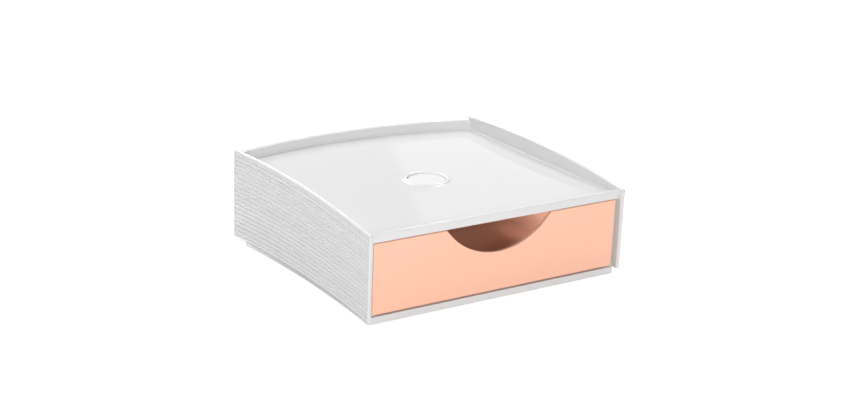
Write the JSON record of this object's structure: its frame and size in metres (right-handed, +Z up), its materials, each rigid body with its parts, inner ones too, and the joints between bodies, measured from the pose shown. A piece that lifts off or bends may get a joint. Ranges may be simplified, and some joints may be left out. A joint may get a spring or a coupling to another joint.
{
  "type": "storage drawer box",
  "caption": "Low desktop storage box with one wide pull-out drawer, a finger notch, a sunk tray on top and ribbed, arched side panels.",
  "frame": {"origin": "middle of the footprint's bounding box, on the surface that the feet stand on", "axes": "+Z up, the drawer faces -Y and pulls out along -Y, +X to the right of someone facing the drawer"},
  "size_m": [0.2626, 0.256, 0.0893],
  "materials": {
    "case_white": "gloss moulded",
    "badge_white": "gloss moulded",
    "drawer_coral": "satin gloss moulded",
    "foot_rubber": "matte"
  },
  "bodies": {
    "case": {"case_shell": "case_white", "left_side_panel": "case_white", "right_side_panel": "case_white", "back_panel": "case_white", "base_plate": "case_white", "badge_ring": "badge_white", "badge_disc": "badge_white", "front_left_foot": "foot_rubber", "back_left_foot": "foot_rubber", "front_right_foot": "foot_rubber", "back_right_foot": "foot_rubber"},
    "drawer": {"drawer": "drawer_coral"}
  },
  "joints": [
    {"name": "drawer_slide", "type": "slide", "parent": "case", "child": "drawer", "axis": [0, -1, 0], "range_m": [0, 0.199]}
  ]
}
